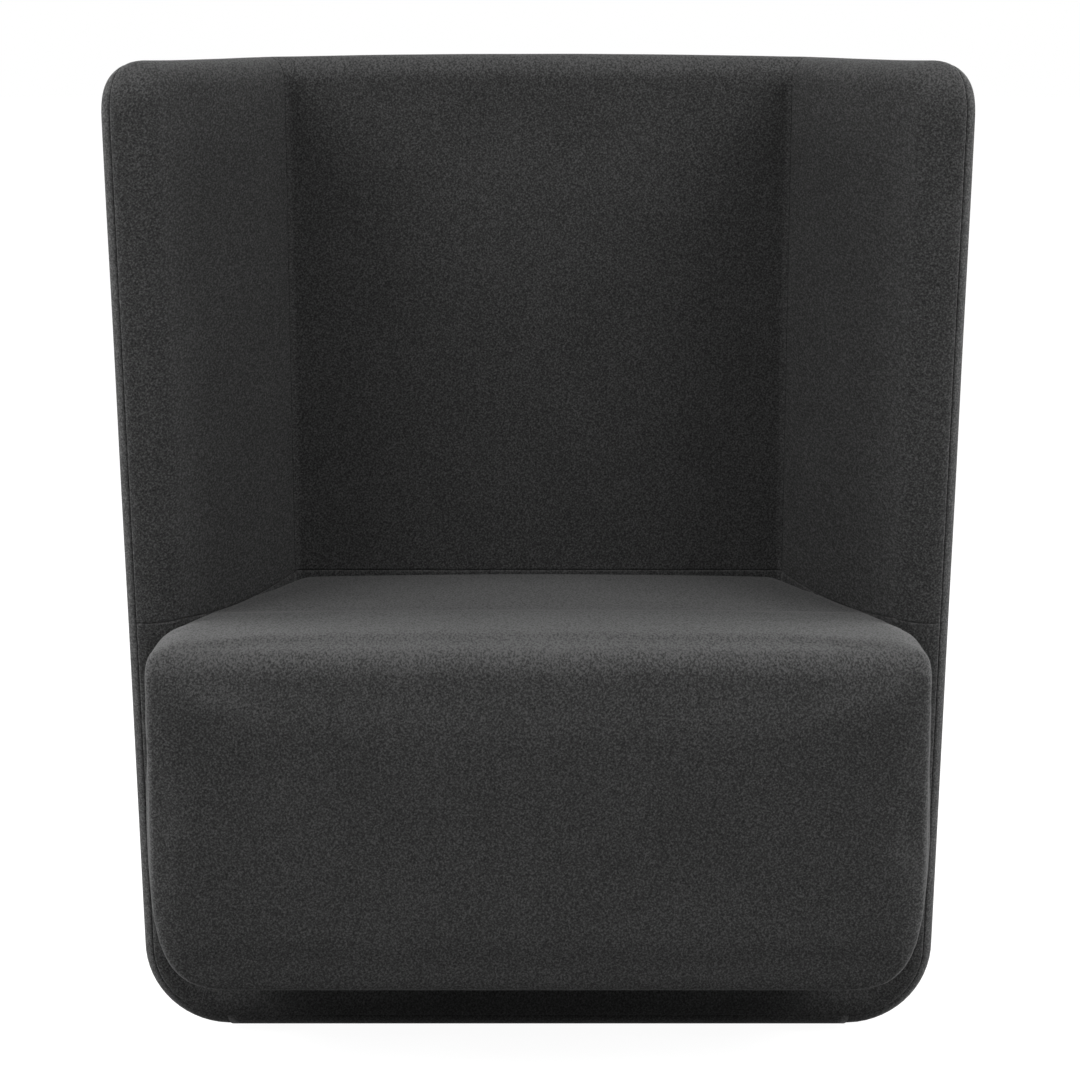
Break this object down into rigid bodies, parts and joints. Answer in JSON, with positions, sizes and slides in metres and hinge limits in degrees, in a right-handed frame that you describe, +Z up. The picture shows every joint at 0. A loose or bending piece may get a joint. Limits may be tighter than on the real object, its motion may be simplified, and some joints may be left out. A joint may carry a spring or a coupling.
{
  "type": "high-back lounge chair",
  "caption": "High-backed upholstered lounge chair: a thin felt-covered shell with splayed wings wraps a full-width seat block, on hidden levelling glides.",
  "frame": {"origin": "on the floor, under the middle of the whole chair", "axes": "+Z up; the chair faces -Y; +X is the right-hand side seen from the front"},
  "size_m": [0.902, 0.5921, 1.0559],
  "materials": {
    "plywood": "satin",
    "bent_plywood": "satin",
    "hardwood": "satin",
    "webbing": "matte",
    "seat_foam": "matte",
    "shell_foam": "matte",
    "edge_foam": "matte",
    "dust_cloth": "matte",
    "wool_felt": "matte",
    "nylon": "matte",
    "zinc_steel": "satin"
  },
  "bodies": {
    "chair": {"base_board": "plywood", "base_front_rail": "hardwood", "base_rear_rail": "hardwood", "base_centre_rail": "hardwood", "side_sills": "hardwood", "corner_battens": "hardwood", "side_panel_right": "plywood", "side_panel_left": "plywood", "back_board": "plywood", "seat_front_former": "plywood", "seat_middle_former": "plywood", "seat_rear_former": "plywood", "seat_side_rails": "hardwood", "seat_bottom_board": "plywood", "seat_wrap_board": "bent_plywood", "webbing_long": "webbing", "webbing_cross": "webbing", "seat_foam": "seat_foam", "seat_front_foam": "seat_foam", "seat_wrap_foam": "seat_foam", "wing_pad_right": "shell_foam", "wing_pad_left": "shell_foam", "back_pad": "shell_foam", "outer_pad_right": "shell_foam", "outer_pad_left": "shell_foam", "back_outer_pad": "shell_foam", "sill_roll_right": "edge_foam", "sill_roll_left": "edge_foam", "edge_roll_right": "edge_foam", "edge_roll_left": "edge_foam", "back_edge_roll": "edge_foam", "base_edge_roll": "edge_foam", "seat_cover": "wool_felt", "wing_cover_right": "wool_felt", "wing_cover_left": "wool_felt", "back_cover": "wool_felt", "lower_cover_right": "wool_felt", "lower_cover_left": "wool_felt", "back_lower_cover": "wool_felt", "outer_cover_right": "wool_felt", "outer_cover_left": "wool_felt", "back_outer_cover": "wool_felt", "base_cover": "wool_felt", "riser_cover": "wool_felt", "dust_cover": "dust_cloth", "seat_bolts": "zinc_steel", "seat_bolt_washers": "zinc_steel", "seat_bolt_nuts": "zinc_steel", "panel_screws": "zinc_steel", "glide_nuts": "zinc_steel"},
    "glide_front_right_pad": {"glide_pad_fr": "nylon"},
    "glide_front_right_stem": {"glide_stem_fr": "zinc_steel"},
    "glide_front_left_pad": {"glide_pad_fl": "nylon"},
    "glide_front_left_stem": {"glide_stem_fl": "zinc_steel"},
    "glide_rear_right_pad": {"glide_pad_rr": "nylon"},
    "glide_rear_right_stem": {"glide_stem_rr": "zinc_steel"},
    "glide_rear_left_pad": {"glide_pad_rl": "nylon"},
    "glide_rear_left_stem": {"glide_stem_rl": "zinc_steel"}
  },
  "joints": [
    {"name": "glide_front_right_lift", "type": "slide", "parent": "chair", "child": "glide_front_right_pad", "axis": [0, 0, -1], "range_m": [0, 0.01]},
    {"name": "glide_front_right_turn", "type": "hinge", "parent": "glide_front_right_pad", "child": "glide_front_right_stem", "pos_m": [0.2871, -0.03326, 0.006], "axis": [0, 0, -1], "range_deg": [-5, 2885]},
    {"name": "glide_front_left_lift", "type": "slide", "parent": "chair", "child": "glide_front_left_pad", "axis": [0, 0, -1], "range_m": [0, 0.01]},
    {"name": "glide_front_left_turn", "type": "hinge", "parent": "glide_front_left_pad", "child": "glide_front_left_stem", "pos_m": [-0.2871, -0.03326, 0.006], "axis": [0, 0, -1], "range_deg": [-5, 2885]},
    {"name": "glide_rear_right_lift", "type": "slide", "parent": "chair", "child": "glide_rear_right_pad", "axis": [0, 0, -1], "range_m": [0, 0.01]},
    {"name": "glide_rear_right_turn", "type": "hinge", "parent": "glide_rear_right_pad", "child": "glide_rear_right_stem", "pos_m": [0.23831, 0.17843, 0.006], "axis": [0, 0, -1], "range_deg": [-5, 2885]},
    {"name": "glide_rear_left_lift", "type": "slide", "parent": "chair", "child": "glide_rear_left_pad", "axis": [0, 0, -1], "range_m": [0, 0.01]},
    {"name": "glide_rear_left_turn", "type": "hinge", "parent": "glide_rear_left_pad", "child": "glide_rear_left_stem", "pos_m": [-0.23831, 0.17843, 0.006], "axis": [0, 0, -1], "range_deg": [-5, 2885]}
  ],
  "couplings": [
    {"joint": "glide_front_right_turn", "follows": "glide_front_right_lift", "rad_per_m": 5026.5},
    {"joint": "glide_front_left_turn", "follows": "glide_front_left_lift", "rad_per_m": 5026.5},
    {"joint": "glide_rear_right_turn", "follows": "glide_rear_right_lift", "rad_per_m": 5026.5},
    {"joint": "glide_rear_left_turn", "follows": "glide_rear_left_lift", "rad_per_m": 5026.5}
  ]
}
